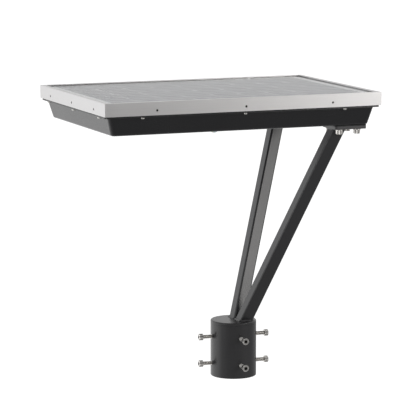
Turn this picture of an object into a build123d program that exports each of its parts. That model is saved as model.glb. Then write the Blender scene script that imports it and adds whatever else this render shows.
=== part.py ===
"""Solar post-top street lamp: a framed solar module on a flared steel tray, carried by two
square-tube arms on a sleeve that slips over the top of a pole and is clamped by eight screws.

Millimetres, +Z up. The origin lies on the pole axis in the mouth of the sleeve. The solar module's
long side runs along X and its front is -Y."""

import math
import os

from build123d import *

# ---------------------------------------------------------------- sleeve on the pole
pole_bore_r = 39.0
sleeve_wall = 6.0
sleeve_depth = 105.0
sleeve_turn = 3.0
sleeve_chamfer = 1.0
cap_thick = 6.0
cap_chamfer = 1.5
clamp_rows = (26.2, 79.4)
clamp_tip_gap = 0.2
clamp_shank_r = 4.0
clamp_shank_len = 25.0
clamp_thread_gap = 0.05
clamp_head_r = 6.5
clamp_head_len = 8.0
clamp_socket_flats = 6.0
clamp_socket_depth = 4.0
screw_chamfer = 0.8

# ---------------------------------------------------------------- arms
tube_size = 25.0
tube_wall = 2.0
tube_corner = 3.5
arm_foot_x = 15.6
arm_foot_gap = 3.9
arm_top_x = 156.0
arm_rise = 387.0
bead_leg = 3.0
bead_toe = 0.3
bead_gap = 0.2

# ---------------------------------------------------------------- foot plates under the tray
foot_left = 139.0
foot_right = 205.0
foot_front_inset = 18.0
foot_inner_edge = 6.0
foot_outer_edge = 8.5
foot_thick = 6.0
foot_gasket = 2.0
foot_corner = 4.0
foot_bolt_x = (151.0, 188.0)
bolt_inner_room = 11.0
bolt_outer_room = 8.5
bolt_r = 4.0
bolt_head_r = 6.5
bolt_head_len = 8.0
bolt_socket_flats = 6.0
bolt_socket_depth = 4.0
bolt_hole_gap = 0.5
bolt_end = 4.0
washer_r = 7.5
washer_thick = 1.6
washer_gap = 0.3
washer_bore_gap = 0.2
nut_flats = 13.0
nut_thick = 6.5
stiffener_thick = 3.0
stiffener_edge = 5.0
stiffener_side_gap = 1.0

# ---------------------------------------------------------------- tray
sheet = 2.0
tray_depth = 34.5
tray_bend = 5.0
tray_corner = 9.0
tray_top_inset_x = 10.0
tray_top_inset_y = 9.0
tray_bottom_inset_x = 19.4
tray_bottom_inset_y = 16.5
flange_back = 1.5
tray_gasket_thick = 1.5
screw_inset = 4.6
screw_r = 2.0
screw_gap = 0.15
screw_head_r = 4.0
screw_head_len = 2.8
screw_len = 9.0
slot_half = 0.5
slot_depth = 1.0
slot_reach = 0.55
pan_round = 0.6
screw_front_x = (-205.0, 0.0, 205.0)
screw_side_y = (-144.0, 0.0, 144.0)

# ---------------------------------------------------------------- solar module
panel_x = -52.8
panel_length = 560.0
panel_width = 374.0
frame_height = 25.0
frame_wall = 1.8
frame_lip = 9.0
frame_lip_thick = 1.5
frame_foot = 20.0
shelf_height = 16.5
shelf_thick = 1.5
chamber_width = 11.0
key_leg = 38.0
key_gap = 0.3
side_hole_r = 2.2
side_hole_height = 9.0
side_hole_x = (-178.0, 0.0, 178.0)
side_hole_y = (-125.0, 0.0, 125.0)
glass_thick = 3.2
glass_gap = 0.2
encapsulant_thick = 1.0
backsheet_thick = 0.5
laminate_edge_gap = 1.2
cell_columns = 9
cell_rows = 4
cell_x = 55.0
cell_y = 83.2
cell_space_x = 1.6
cell_space_y = 1.8
cell_corner = 3.5
cell_thick = 0.3
ribbon_width = 1.6
ribbon_thick = 0.2
ribbons_per_row = 3

# ---------------------------------------------------------------- lamp in the tray floor
lamp_x = -190.0
lamp_window_x = 186.0
lamp_window_y = 166.0
window_ledge = 4.0
window_corner = 4.0
lamp_corner = 5.0
bezel_lip = 12.0
bezel_wall = 4.0
bezel_thick = 1.6
bezel_chamfer = 1.2
lens_thick = 2.0
lens_gasket_thick = 0.6
dome_r = 8.0
dome_height = 2.6
led_columns = 8
led_rows = 6
led_edge_x = 19.5
led_edge_y = 23.0
led_size = 5.0
led_thick = 1.0
board_thick = 1.6
board_gap = 5.0
spreader_thick = 4.0
lead_hole_from_lamp = 75.0
lead_hole_y = -30.0
lead_hole_gap = 1.0
bezel_screw_short = 1.0
m3_r = 1.5
m3_gap = 0.15
m3_head_r = 2.8
m3_head_len = 2.2

# ---------------------------------------------------------------- sensor, switch, vent, light
sensor_at = (-62.0, -50.0)
sensor_r = 18.0
sensor_depth = 6.0
sensor_round = 2.0
sensor_wall = 2.5
sensor_top = 2.0
sensor_neck_r = 11.0
sensor_neck_len = 8.0
sensor_dome_r = 11.0
sensor_dome_wall = 1.2
sensor_board_thick = 1.2
switch_at = (30.0, -125.0)
switch_flange_r = 11.0
switch_flange = 2.5
switch_round = 1.2
bushing_ledge = 1.0
button_round = 1.0
switch_neck_r = 8.5
switch_neck_len = 18.0
button_r = 6.0
button_gap = 0.3
button_proud = 2.5
button_travel = 2.2
button_collar_r = 6.8
button_collar = 1.7
spring_coil_r = 4.4
spring_wire_r = 0.4
spring_turns = 5
spring_length = 7.0
contact_height = 6.0
switch_nut_flats = 21.0
switch_nut_thick = 3.0
vent_at = (85.0, -125.0)
vent_r = 8.0
vent_thick = 3.5
vent_neck_r = 5.5
vent_neck_len = 6.0
light_at = (58.0, -125.0)
light_r = 4.5
light_thick = 1.5
light_neck_r = 3.0
light_neck_len = 5.0
fitting_round = 0.4
floor_gap = 0.2

# ---------------------------------------------------------------- battery and controller
battery_left = -74.0
battery_front = 10.0
cell_can_r = 16.0
cell_can_len = 70.0
can_gap = 0.4
battery_columns = 2
battery_rows = 4
case_wall = 2.0
strap_width = 18.0
strap_thick = 1.5
strap_foot = 13.0
strap_x = (-40.0, 42.0)
stud_r = 2.0
stud_nut_flats = 7.0
stud_nut_thick = 3.2
stud_len = 8.0
strap_lap = 0.1
controller_x = 30.0
controller_y = -50.0
controller_len = 110.0
controller_wide = 80.0
standoff_height = 10.0
standoff_flats = 6.0
standoff_inset = 5.0
standoff_bore = 7.0
board_screw_len = 5.0
terminal_wide = 10.0
terminal_tall = 12.0
terminal_long = 44.0
terminal_inset = 2.0
coil_x = -18.0
coil_r = 9.0
coil_tall = 9.0
capacitor_x = 8.0
capacitor_y = (-7.0, 8.0)
capacitor_r = 6.0
capacitor_tall = 16.0
sink_x = (24.0, 46.0)
sink_half_y = 18.0
sink_tall = 12.0
lead_r = 1.8
lead_over = 7.0
lead_under = 3.0
module_lead_x = -24.0
module_lead_y = -110.0
battery_lead_from_board = -14.0
switch_lead_in = 4.0
lead_bends = (8.0, 0.0, 10.0, 5.0, 3.2)
junction_at = (40.0, -118.0)
junction_size = (76.0, 56.0, 13.0)
junction_wall = 2.0
junction_corner = 4.0
junction_inner_corner = 2.0
junction_lid = 2.0

# ---------------------------------------------------------------- heights and outlines that follow
sleeve_r = pole_bore_r + sleeve_wall
cap_top = sleeve_depth + cap_thick
plate_low = cap_top + arm_rise
plate_high = plate_low + foot_thick
tray_low = plate_high + foot_gasket
floor_high = tray_low + sheet
flange_low = tray_low + tray_depth
flange_high = flange_low + sheet
frame_low = flange_high + tray_gasket_thick
frame_high = frame_low + frame_height
glass_high = frame_high - frame_lip_thick - glass_gap
glass_low = glass_high - glass_thick
encapsulant_low = glass_low - encapsulant_thick
backsheet_low = encapsulant_low - backsheet_thick
half_x = panel_length / 2
half_y = panel_width / 2
foot_front = half_y - foot_front_inset
outer_bolt_y = foot_front - foot_outer_edge
arm_top_y = outer_bolt_y - tube_size / 2 - bolt_outer_room
inner_bolt_y = arm_top_y - tube_size / 2 - bolt_inner_room
foot_bolt_y = (inner_bolt_y, outer_bolt_y)
foot_width = foot_front - inner_bolt_y + foot_inner_edge
stiffener_half_y = foot_front - stiffener_edge
arm_foot_y = tube_size / 2 + arm_foot_gap
led_pitch_x = (lamp_window_x - 2 * led_edge_x) / (led_columns - 1)
led_pitch_y = (lamp_window_y - 2 * led_edge_y) / (led_rows - 1)
pitch_x = cell_x + cell_space_x
pitch_y = cell_y + cell_space_y
laminate_x = half_x - frame_wall - laminate_edge_gap
laminate_y = half_y - frame_wall - laminate_edge_gap
wall_slope_x = (tray_bottom_inset_x - tray_top_inset_x) / tray_depth
wall_slope_y = (tray_bottom_inset_y - tray_top_inset_y) / tray_depth
clamp_tip = pole_bore_r + clamp_tip_gap

LOW = (Align.CENTER, Align.CENTER, Align.MIN)


def box(x0, x1, y0, y1, z0, z1):
    """A block between two corners."""
    return Pos(x0, y0, z0) * Box(x1 - x0, y1 - y0, z1 - z0, align=(Align.MIN,) * 3)


def disc(x, y, z0, z1, radius):
    """An upright round bar between two heights."""
    return Pos(x, y, z0) * Cylinder(radius, z1 - z0, align=LOW)


def plate(half_w, half_d, corner, z0, z1, x=0.0, y=0.0):
    """A flat plate with round corners, centred at x, y."""
    outline = RectangleRounded(2 * half_w, 2 * half_d, corner)
    return Pos(x, y, z0) * extrude(outline, z1 - z0)


def hexagon(x, y, z0, z1, flats):
    """An upright hexagonal bar, measured across its flats."""
    outline = RegularPolygon(flats / 2, 6, major_radius=False)
    return Pos(x, y, z0) * extrude(outline, z1 - z0)


def group(pieces):
    """Like pieces kept as separate solids of one node."""
    return Compound(children=list(pieces))


def centred(count, pitch):
    """Places of a row of things, centred on zero."""
    return [(i - (count - 1) / 2) * pitch for i in range(count)]


# ---------------------------------------------------------------- solar module

def rail_section():
    """Frame extrusion: outer wall, glass lip, laminate shelf, key chamber and mounting foot."""
    shelf_top = shelf_height + shelf_thick
    solid = Pos(0, 0) * Rectangle(frame_foot, frame_wall, align=(Align.MIN, Align.MIN))
    solid += Rectangle(frame_wall, frame_height, align=(Align.MIN, Align.MIN))
    lip_y = frame_height - frame_lip_thick
    solid += Pos(0, lip_y) * Rectangle(frame_lip, frame_lip_thick, align=(Align.MIN, Align.MIN))
    solid += Pos(0, shelf_height) * Rectangle(chamber_width, shelf_thick, align=(Align.MIN, Align.MIN))
    inner_x = chamber_width - frame_wall
    solid += Pos(inner_x, 0) * Rectangle(frame_wall, shelf_top, align=(Align.MIN, Align.MIN))
    return solid


def rail(length, half_depth, side_holes, foot_holes):
    """One frame rail along X with its outer face at y = -half_depth and mitred ends."""
    section = Plane(origin=(-length / 2, 0, 0), x_dir=(0, 1, 0), z_dir=(1, 0, 0)) * rail_section()
    bar = Pos(0, -half_depth, frame_low) * extrude(section, length)
    reach = frame_foot + 5
    end = length / 2
    mitre = Polyline(
        (-end, -half_depth), (end, -half_depth),
        (end - reach, -half_depth + reach), (-end + reach, -half_depth + reach), close=True,
    )
    bar &= Pos(0, 0, frame_low - 1) * extrude(make_face(mitre), frame_height + 2)
    for x in side_holes:
        drill = Cylinder(side_hole_r, 4 * frame_wall, rotation=(90, 0, 0))
        bar -= Pos(x, -half_depth, frame_low + side_hole_height) * drill
    for x in foot_holes:
        bar -= disc(x, -half_depth + screw_inset, frame_low - 1, frame_low + 3, screw_r + screw_gap)
    return bar


def frame_rails():
    """Four mitred rails: the long ones in front and behind, the short ones at the ends."""
    front = rail(panel_length, half_y, side_hole_x, screw_front_x)
    side = rail(panel_width, half_x, side_hole_y, screw_side_y)
    centre = Pos(panel_x, 0, 0)
    return {
        "frame_rail_front": centre * front,
        "frame_rail_rear": centre * Rot(0, 0, 180) * front,
        "frame_rail_right": centre * Rot(0, 0, 90) * side,
        "frame_rail_left": centre * Rot(0, 0, -90) * side,
    }


def frame_corner_keys():
    """L-shaped keys pressed into the rails' chambers at the four corners."""
    start = frame_wall + key_gap
    stop = chamber_width - frame_wall - key_gap
    z0 = frame_low + frame_wall + key_gap
    z1 = frame_low + shelf_height - key_gap
    keys = []
    for sx in (-1, 1):
        for sy in (-1, 1):
            along_x = box(-half_x + start, -half_x + key_leg, -half_y + start, -half_y + stop, z0, z1)
            along_y = box(-half_x + start, -half_x + stop, -half_y + start, -half_y + key_leg, z0, z1)
            key = along_x + along_y
            if sx > 0:
                key = mirror(key, Plane.YZ)
            if sy > 0:
                key = mirror(key, Plane.XZ)
            keys.append(Pos(panel_x, 0, 0) * key)
    return group(keys)


def laminate_layer(z0, z1):
    """One full-size layer of the laminate."""
    return box(panel_x - laminate_x, panel_x + laminate_x, -laminate_y, laminate_y, z0, z1)


def frame_sealant():
    """Silicone that fills the groove round the laminate's edge."""
    z0 = frame_low + shelf_height + shelf_thick
    z1 = frame_high - frame_lip_thick
    gap_x = half_x - frame_wall
    gap_y = half_y - frame_wall
    ring = box(panel_x - gap_x, panel_x + gap_x, -gap_y, gap_y, z0, z1)
    open_x = half_x - frame_lip
    open_y = half_y - frame_lip
    ring -= box(panel_x - open_x, panel_x + open_x, -open_y, open_y, z0 - 1, z1 + 1)
    return ring - laminate_layer(backsheet_low, glass_high)


def cell_outline(grow=0.0):
    """One solar cell with cut corners."""
    return chamfer(Rectangle(cell_x + grow, cell_y + grow).vertices(), cell_corner)


def cell_places():
    """Centre of each cell."""
    return [(panel_x + x, y) for y in centred(cell_rows, pitch_y) for x in centred(cell_columns, pitch_x)]


def cells():
    """Solar cells, flush under the ribbons."""
    top = glass_low - ribbon_thick
    tile = extrude(cell_outline(), cell_thick)
    return [Pos(x, y, top - cell_thick) * tile for x, y in cell_places()]


def ribbons():
    """Tinned copper strips that join each row of cells."""
    strips = []
    reach = cell_columns * pitch_x / 2
    for y in centred(cell_rows, pitch_y):
        for dy in centred(ribbons_per_row, cell_y / ribbons_per_row):
            low = y + dy - ribbon_width / 2
            strips.append(box(panel_x - reach, panel_x + reach, low, low + ribbon_width,
                              glass_low - ribbon_thick, glass_low))
    return strips


def encapsulant():
    """Laminating film under the glass, with the cells and ribbons sunk in it."""
    film = laminate_layer(encapsulant_low, glass_low)
    return film - cells() - ribbons()


def junction_box():
    """Box bonded to the back of the laminate over the cell strings' ends."""
    sx, sy, sz = junction_size
    x, y = junction_at
    low = backsheet_low - sz
    shell = plate(sx / 2, sy / 2, junction_corner, low + junction_lid, backsheet_low, x, y)
    half_w = sx / 2 - junction_wall
    half_d = sy / 2 - junction_wall
    return shell - plate(half_w, half_d, junction_inner_corner, low, backsheet_low - junction_wall, x, y)


def junction_box_lid():
    """Snap lid of the junction box."""
    sx, sy, sz = junction_size
    x, y = junction_at
    low = backsheet_low - sz
    return plate(sx / 2, sy / 2, junction_corner, low, low + junction_lid, x, y)


# ---------------------------------------------------------------- tray

def tray_shell(shrink, z0, z1, bend):
    """Flared tray volume; its half sizes follow the wall's slope, less the shrink."""
    def outline(z):
        rise = z - tray_low
        grow_x = shrink * math.hypot(1, wall_slope_x)
        grow_y = shrink * math.hypot(1, wall_slope_y)
        width = half_x - tray_bottom_inset_x + rise * wall_slope_x - grow_x
        depth = half_y - tray_bottom_inset_y + rise * wall_slope_y - grow_y
        return Pos(panel_x, 0, z) * RectangleRounded(2 * width, 2 * depth, tray_corner - shrink)
    body = loft([outline(z0), outline(z1)])
    return fillet(body.faces().sort_by(Axis.Z)[0].edges(), bend)


def floor_holes():
    """Everything that is cut through the tray's floor."""
    z0 = tray_low - 1
    z1 = floor_high + 1
    cuts = [plate(window_half_x, window_half_y, window_corner, z0, z1, lamp_x)]
    cuts += [disc(x, y, z0, z1, bolt_r + bolt_hole_gap) for x, y in foot_bolt_places()]
    cuts += [disc(x, y, z0, z1, m3_r + m3_gap) for x, y in bezel_screw_places()]
    cuts.append(disc(*sensor_at, z0, z1, sensor_neck_r + floor_gap))
    cuts.append(disc(*switch_at, z0, z1, switch_neck_r + floor_gap))
    cuts.append(disc(*vent_at, z0, z1, vent_neck_r + floor_gap))
    cuts.append(disc(*light_at, z0, z1, light_neck_r + floor_gap))
    return cuts


def flange_screw_places():
    """Screws round the tray's flange."""
    places = []
    for x in screw_front_x:
        places += [(panel_x + x, -half_y + screw_inset), (panel_x + x, half_y - screw_inset)]
    for y in screw_side_y:
        places += [(panel_x - half_x + screw_inset, y), (panel_x + half_x - screw_inset, y)]
    return places


def tray_housing():
    """Pressed and folded steel tray with a flange that the module's frame sits on."""
    outer = tray_shell(0, tray_low, flange_high, tray_bend)
    inner = tray_shell(sheet, floor_high, flange_high + 1, tray_bend - sheet)
    rim_x = half_x - flange_back
    rim_y = half_y - flange_back
    rim = plate(rim_x, rim_y, tray_corner, flange_low, flange_high, panel_x)
    tray = outer + rim - inner
    for cut in floor_holes():
        tray -= cut
    for x, y in flange_screw_places():
        tray -= disc(x, y, flange_low - 1, flange_high + 1, screw_r + screw_gap)
    return tray


def tray_gasket():
    """Foam strip between the tray's flange and the module's frame."""
    rim_x = half_x - flange_back
    rim_y = half_y - flange_back
    strip = plate(rim_x, rim_y, tray_corner, flange_high, frame_low, panel_x)
    open_x = half_x - tray_top_inset_x - sheet
    open_y = half_y - tray_top_inset_y - sheet
    strip -= plate(open_x, open_y, tray_corner - sheet, flange_high - 1, frame_low + 1, panel_x)
    for x, y in flange_screw_places():
        strip -= disc(x, y, flange_high - 1, frame_low + 1, screw_r + screw_gap)
    return strip


def pan_screw(x, y, seat, shank_r, length, head_r, head_len):
    """Pan-head screw pointing up, its head hanging below the seat."""
    head = disc(x, y, seat - head_len, seat, head_r)
    head = fillet(head.faces().sort_by(Axis.Z)[0].edges(), head_len * pan_round)
    reach = head_r * slot_reach
    low = seat - head_len
    head -= box(x - reach, x + reach, y - slot_half, y + slot_half, low - 1, low + slot_depth)
    return head + disc(x, y, seat, seat + length, shank_r)


# ---------------------------------------------------------------- foot plates and bolts

def foot_bolt_places():
    """The four bolts of each foot, front and rear."""
    return [(x, side * y) for side in (-1, 1) for x in foot_bolt_x for y in foot_bolt_y]


def foot_plate(side, z0, z1):
    """One foot-sized plate, pierced for its bolts."""
    middle = side * (foot_front - foot_width / 2)
    width = (foot_right - foot_left) / 2
    blank = plate(width, foot_width / 2, foot_corner, z0, z1, (foot_left + foot_right) / 2, middle)
    for x, y in foot_bolt_places():
        blank -= disc(x, y, z0 - 1, z1 + 1, bolt_r + bolt_hole_gap)
    return blank


def stiffener_plate():
    """Plate inside the tray that spreads the arms' load over the floor."""
    z1 = floor_high + stiffener_thick
    middle = (foot_left + foot_right) / 2
    width = (foot_right - foot_left) / 2 - stiffener_side_gap
    blank = plate(width, stiffener_half_y, foot_corner, floor_high, z1, middle)
    for x, y in foot_bolt_places():
        blank -= disc(x, y, floor_high - 1, z1 + 1, bolt_r + bolt_hole_gap)
    return blank


def socket_screw(head_r, head_len, shank_r, shank_len, flats, depth):
    """Socket-head cap screw along +Z, its head below z = 0."""
    head = Cylinder(head_r, head_len, align=(Align.CENTER, Align.CENTER, Align.MAX))
    head = chamfer(head.faces().sort_by(Axis.Z)[0].edges(), screw_chamfer)
    head -= hexagon(0, 0, -head_len - 1, -head_len + depth, flats)
    shank = Cylinder(shank_r, shank_len, align=LOW)
    shank = chamfer(shank.faces().sort_by(Axis.Z)[-1].edges(), screw_chamfer)
    return head + shank


def foot_fasteners():
    """Bolts with a washer under the head and a nut and washer inside the tray."""
    seat = plate_low - washer_thick
    nut_low = floor_high + stiffener_thick + washer_thick
    length = nut_low + nut_thick + bolt_end - seat
    screw = socket_screw(bolt_head_r, bolt_head_len, bolt_r, length, bolt_socket_flats, bolt_socket_depth)
    bolts, washers, nuts = [], [], []
    for x, y in foot_bolt_places():
        bolts.append(Pos(x, y, seat) * screw)
        for z in (seat, nut_low - washer_thick):
            ring = disc(x, y, z, z + washer_thick, washer_r)
            washers.append(ring - disc(x, y, z - 1, z + washer_thick + 1, bolt_r + washer_bore_gap))
        nut = hexagon(x, y, nut_low, nut_low + nut_thick, nut_flats)
        nuts.append(nut - disc(x, y, nut_low - 1, nut_low + nut_thick + 1, bolt_r + screw_gap))
    return {"foot_bolts": group(bolts), "foot_washers": group(washers), "foot_nuts": group(nuts)}


# ---------------------------------------------------------------- arms, sleeve and cap

def arm_axes(side):
    """Start, direction and the two cross directions of one arm."""
    start = Vector(arm_foot_x, side * arm_foot_y, cap_top)
    end = Vector(arm_top_x, side * arm_top_y, plate_low)
    along = (end - start).normalized()
    across = Vector(along.Z, 0, -along.X).normalized()
    return start, end, along, across


def arm_bar(side, size, corner):
    """Square bar along an arm's axis, cut flat at the cap and at the foot plate."""
    start, end, along, across = arm_axes(side)
    spare = 2 * tube_size
    base = Plane(origin=start - along * spare, x_dir=across, z_dir=along)
    bar = extrude(base * RectangleRounded(size, size, corner), (end - start).length + 2 * spare)
    reach = arm_top_x + 4 * tube_size
    return bar & box(-reach, reach, -2 * arm_top_y, 2 * arm_top_y, cap_top, plate_low)


def arm(side):
    """Square tube arm."""
    return arm_bar(side, tube_size, tube_corner) - arm_bar(side, tube_size - 2 * tube_wall, tube_corner - tube_wall)


def arm_outline(side, z, grow):
    """Level outline of an arm at height z, grown evenly."""
    start, end, along, across = arm_axes(side)
    other = along.cross(across)
    t = (z - start.Z) / along.Z
    centre = start + along * t
    reach = tube_size / 2 + grow
    cut = tube_corner * 0.6 + grow / 2
    corners = [
        (reach, -reach + cut), (reach, reach - cut), (reach - cut, reach), (-reach + cut, reach),
        (-reach, reach - cut), (-reach, -reach + cut), (-reach + cut, -reach), (reach - cut, -reach),
    ]
    points = []
    for a, b in corners:
        point = centre + across * a + other * b
        point += along * ((z - point.Z) / along.Z)
        points.append((point.X, point.Y, z))
    return make_face(Polyline(*points, close=True))


def weld_bead(side, z_seat, z_off):
    """Fillet weld round one end of an arm, ground back where a washer seats."""
    bead = loft([arm_outline(side, z_seat, bead_leg), arm_outline(side, z_off, bead_toe)])
    bead -= arm_bar(side, tube_size, tube_corner)
    wide = 2 * arm_top_y
    across = (-wide, bead_gap) if side > 0 else (-bead_gap, wide)
    bead -= box(-wide, wide, *across, cap_top - 1, plate_low + 1)
    for x, y in foot_bolt_places():
        bead -= disc(x, y, plate_low - washer_thick - bolt_head_len, plate_low, washer_r + washer_gap)
    return bead


def clamp_places():
    """Angle and height of each clamp screw, front screw first, then round the sleeve."""
    return [(-90 - sleeve_turn + 90 * i, z) for z in clamp_rows for i in range(4)]


def clamp_screw(angle, z):
    """Socket-head screw pointing at the pole's axis."""
    screw = socket_screw(clamp_head_r, clamp_head_len, clamp_shank_r, clamp_shank_len,
                         clamp_socket_flats, clamp_socket_depth)
    seat = clamp_tip + clamp_shank_len
    turned = Pos(seat, 0, 0) * Rot(0, -90, 0) * screw
    return Pos(0, 0, z) * Rot(0, 0, angle) * turned


def sleeve():
    """Pole sleeve, drilled and tapped for two rows of clamp screws."""
    tube = disc(0, 0, 0, sleeve_depth, sleeve_r)
    tube = chamfer(tube.faces().sort_by(Axis.Z)[0].edges(), sleeve_chamfer)
    tube -= disc(0, 0, -1, sleeve_depth + 1, pole_bore_r)
    for angle, z in clamp_places():
        drill = Cylinder(clamp_shank_r + clamp_thread_gap, 3 * sleeve_wall, rotation=(0, 90, 0))
        tube -= Pos(0, 0, z) * Rot(0, 0, angle) * Pos(sleeve_r, 0, 0) * drill
    return tube


def sleeve_cap():
    """Disc welded on the sleeve's end; the arms stand on it."""
    cap = disc(0, 0, sleeve_depth, cap_top, sleeve_r)
    return chamfer(cap.faces().sort_by(Axis.Z)[-1].edges(), cap_chamfer)


def weld_beads():
    """Welds at both ends of both arms."""
    beads = []
    for side in (-1, 1):
        beads.append(weld_bead(side, cap_top, cap_top + bead_leg))
        beads.append(weld_bead(side, plate_low, plate_low - bead_leg))
    return group(beads)


# ---------------------------------------------------------------- lamp

window_half_x = lamp_window_x / 2 + window_ledge
window_half_y = lamp_window_y / 2 + window_ledge
bezel_half_x = lamp_window_x / 2 + bezel_lip + bezel_wall
bezel_half_y = lamp_window_y / 2 + bezel_lip + bezel_wall
lens_high = tray_low - lens_gasket_thick
lens_low = lens_high - lens_thick
bezel_low = lens_low - bezel_thick


def bezel_screw_places():
    """Screws through the bezel's lip: four along each long side and two between them at the ends."""
    reach_x = lamp_window_x / 2 + bezel_lip / 2
    reach_y = lamp_window_y / 2 + bezel_lip / 2
    row = [lamp_x + s * reach_x for s in (-1, -1 / 3, 1 / 3, 1)]
    places = [(x, side * reach_y) for side in (-1, 1) for x in row]
    places += [(lamp_x + side * reach_x, 0) for side in (-1, 1)]
    return places


def drill_lamp(piece, z0, z1):
    """Clearance holes for the bezel's screws."""
    for x, y in bezel_screw_places():
        piece -= disc(x, y, z0 - 1, z1 + 1, m3_r + m3_gap)
    return piece


def lamp_plate(half_w, half_d, z0, z1):
    """Flat lamp layer centred on the lamp."""
    return plate(half_w, half_d, lamp_corner, z0, z1, lamp_x)


def lamp_places():
    """Centre of each light-emitting diode."""
    return [(lamp_x + x, y) for y in centred(led_rows, led_pitch_y) for x in centred(led_columns, led_pitch_x)]


def lens_plate():
    """Clear plate with a shallow dome under each diode."""
    edge = bezel_half_x - bezel_wall - floor_gap
    edge_y = bezel_half_y - bezel_wall - floor_gap
    lens = drill_lamp(lamp_plate(edge, edge_y, lens_low, lens_high), lens_low, lens_high)
    ball_r = (dome_r ** 2 + dome_height ** 2) / (2 * dome_height)
    ball = Pos(0, 0, lens_low - dome_height + ball_r) * Sphere(ball_r)
    dome = ball & disc(0, 0, lens_low - dome_height - 1, lens_low + 0.5, dome_r + 2)
    return lens + [Pos(x, y, 0) * dome for x, y in lamp_places()]


def led_bezel():
    """Cast frame that holds the lens against the tray."""
    bezel = lamp_plate(bezel_half_x, bezel_half_y, bezel_low, tray_low)
    bezel = chamfer(bezel.faces().sort_by(Axis.Z)[0].edges(), bezel_chamfer)
    edge = bezel_half_x - bezel_wall
    edge_y = bezel_half_y - bezel_wall
    bezel -= lamp_plate(edge, edge_y, lens_low, tray_low + 1)
    bezel -= lamp_plate(lamp_window_x / 2, lamp_window_y / 2, bezel_low - 1, lens_low + 1)
    return drill_lamp(bezel, bezel_low, tray_low)


def lens_gasket():
    """Silicone ring between the lens and the tray."""
    edge = bezel_half_x - bezel_wall - floor_gap
    edge_y = bezel_half_y - bezel_wall - floor_gap
    ring = lamp_plate(edge, edge_y, lens_high, tray_low)
    ring -= lamp_plate(window_half_x, window_half_y, lens_high - 1, tray_low + 1)
    return drill_lamp(ring, lens_high, tray_low)


lead_hole = (lamp_x + lead_hole_from_lamp, lead_hole_y)


def heat_spreader():
    """Aluminium plate on the tray's floor that cools the lamp's board."""
    edge = bezel_half_x - bezel_wall
    edge_y = bezel_half_y - bezel_wall
    z1 = floor_high + spreader_thick
    block = drill_lamp(lamp_plate(edge, edge_y, floor_high, z1), floor_high, z1)
    return block - disc(*lead_hole, floor_high - 1, z1 + 1, lead_r + lead_hole_gap)


def led_board():
    """Board that carries the diodes, face down in the window."""
    half_w = window_half_x - board_gap
    half_d = window_half_y - board_gap
    return lamp_plate(half_w, half_d, floor_high - board_thick, floor_high)


def led_chips():
    """Light-emitting diodes."""
    z1 = floor_high - board_thick
    half = led_size / 2
    return group(box(x - half, x + half, y - half, y + half, z1 - led_thick, z1) for x, y in lamp_places())


def bezel_screws():
    """Small pan-head screws through the bezel, lens and gasket into the heat spreader."""
    length = floor_high + spreader_thick - bezel_screw_short - bezel_low
    return group(
        pan_screw(x, y, bezel_low, m3_r, length, m3_head_r, m3_head_len) for x, y in bezel_screw_places()
    )


# ---------------------------------------------------------------- sensor, switch, vent, light

def sensor_base():
    """Round housing of the motion sensor, its neck through the floor."""
    x, y = sensor_at
    low = tray_low - sensor_depth
    body = disc(x, y, low, tray_low, sensor_r)
    body = fillet(body.faces().sort_by(Axis.Z)[0].edges(), sensor_round)
    body += disc(x, y, tray_low, floor_high + sensor_neck_len, sensor_neck_r)
    return body - disc(x, y, low - 1, floor_high + sensor_neck_len - sensor_top, sensor_neck_r - sensor_wall)


def sensor_dome():
    """Milky lens dome of the motion sensor."""
    x, y = sensor_at
    low = tray_low - sensor_depth
    dome = Sphere(sensor_dome_r) - Sphere(sensor_dome_r - sensor_dome_wall)
    dome &= Pos(0, 0, -2 * sensor_dome_r) * Cylinder(2 * sensor_dome_r, 2 * sensor_dome_r, align=LOW)
    return Pos(x, y, low) * dome


def sensor_board():
    """Small board inside the sensor's neck."""
    x, y = sensor_at
    z1 = floor_high + sensor_neck_len - sensor_top
    return disc(x, y, z1 - sensor_board_thick, z1, sensor_neck_r - sensor_wall - floor_gap)


switch_low = tray_low - switch_flange
seat_z = floor_high + bushing_ledge + button_gap
button_top = seat_z + button_collar
contact_low = button_top + spring_length
switch_top = floor_high + switch_neck_len


def switch_bushing():
    """Threaded bushing of the push button."""
    x, y = switch_at
    body = disc(x, y, switch_low, tray_low, switch_flange_r)
    body = fillet(body.faces().sort_by(Axis.Z)[0].edges(), switch_round)
    body += disc(x, y, tray_low, switch_top, switch_neck_r)
    body -= disc(x, y, switch_low - 1, switch_top + 1, button_r + button_gap)
    return body - disc(x, y, floor_high + bushing_ledge, switch_top + 1, button_collar_r + button_gap)


def switch_button():
    """Sprung push button with a collar that keeps it in the bushing."""
    x, y = switch_at
    cap = disc(x, y, switch_low - button_proud, seat_z, button_r)
    cap = fillet(cap.faces().sort_by(Axis.Z)[0].edges(), button_round)
    return cap + disc(x, y, seat_z, button_top, button_collar_r)


def switch_spring():
    """Return spring between the button's collar and the contact block."""
    x, y = switch_at
    low = button_top + spring_wire_r
    rise = spring_length - 2 * spring_wire_r
    path = Helix(rise / spring_turns, rise, spring_coil_r)
    start = Plane(origin=path @ 0, z_dir=path % 0)
    return Pos(x, y, low) * sweep(start * Circle(spring_wire_r), path=path)


def switch_contact():
    """Contact block that closes the bushing inside the tray."""
    x, y = switch_at
    plug = disc(x, y, contact_low, switch_top, button_collar_r)
    return plug + disc(x, y, switch_top, switch_top + contact_height, switch_neck_r)


def switch_nut():
    """Nut that holds the bushing against the floor."""
    x, y = switch_at
    z1 = floor_high + switch_nut_thick
    nut = hexagon(x, y, floor_high, z1, switch_nut_flats)
    return nut - disc(x, y, floor_high - 1, z1 + 1, switch_neck_r + floor_gap)


def button_part(at, radius, thick, neck_r, neck_len):
    """Round fitting with a flange below the floor and a neck through it."""
    x, y = at
    head = disc(x, y, tray_low - thick, tray_low, radius)
    head = fillet(head.faces().sort_by(Axis.Z)[0].edges(), thick * fitting_round)
    return head + disc(x, y, tray_low, floor_high + neck_len, neck_r)


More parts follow.
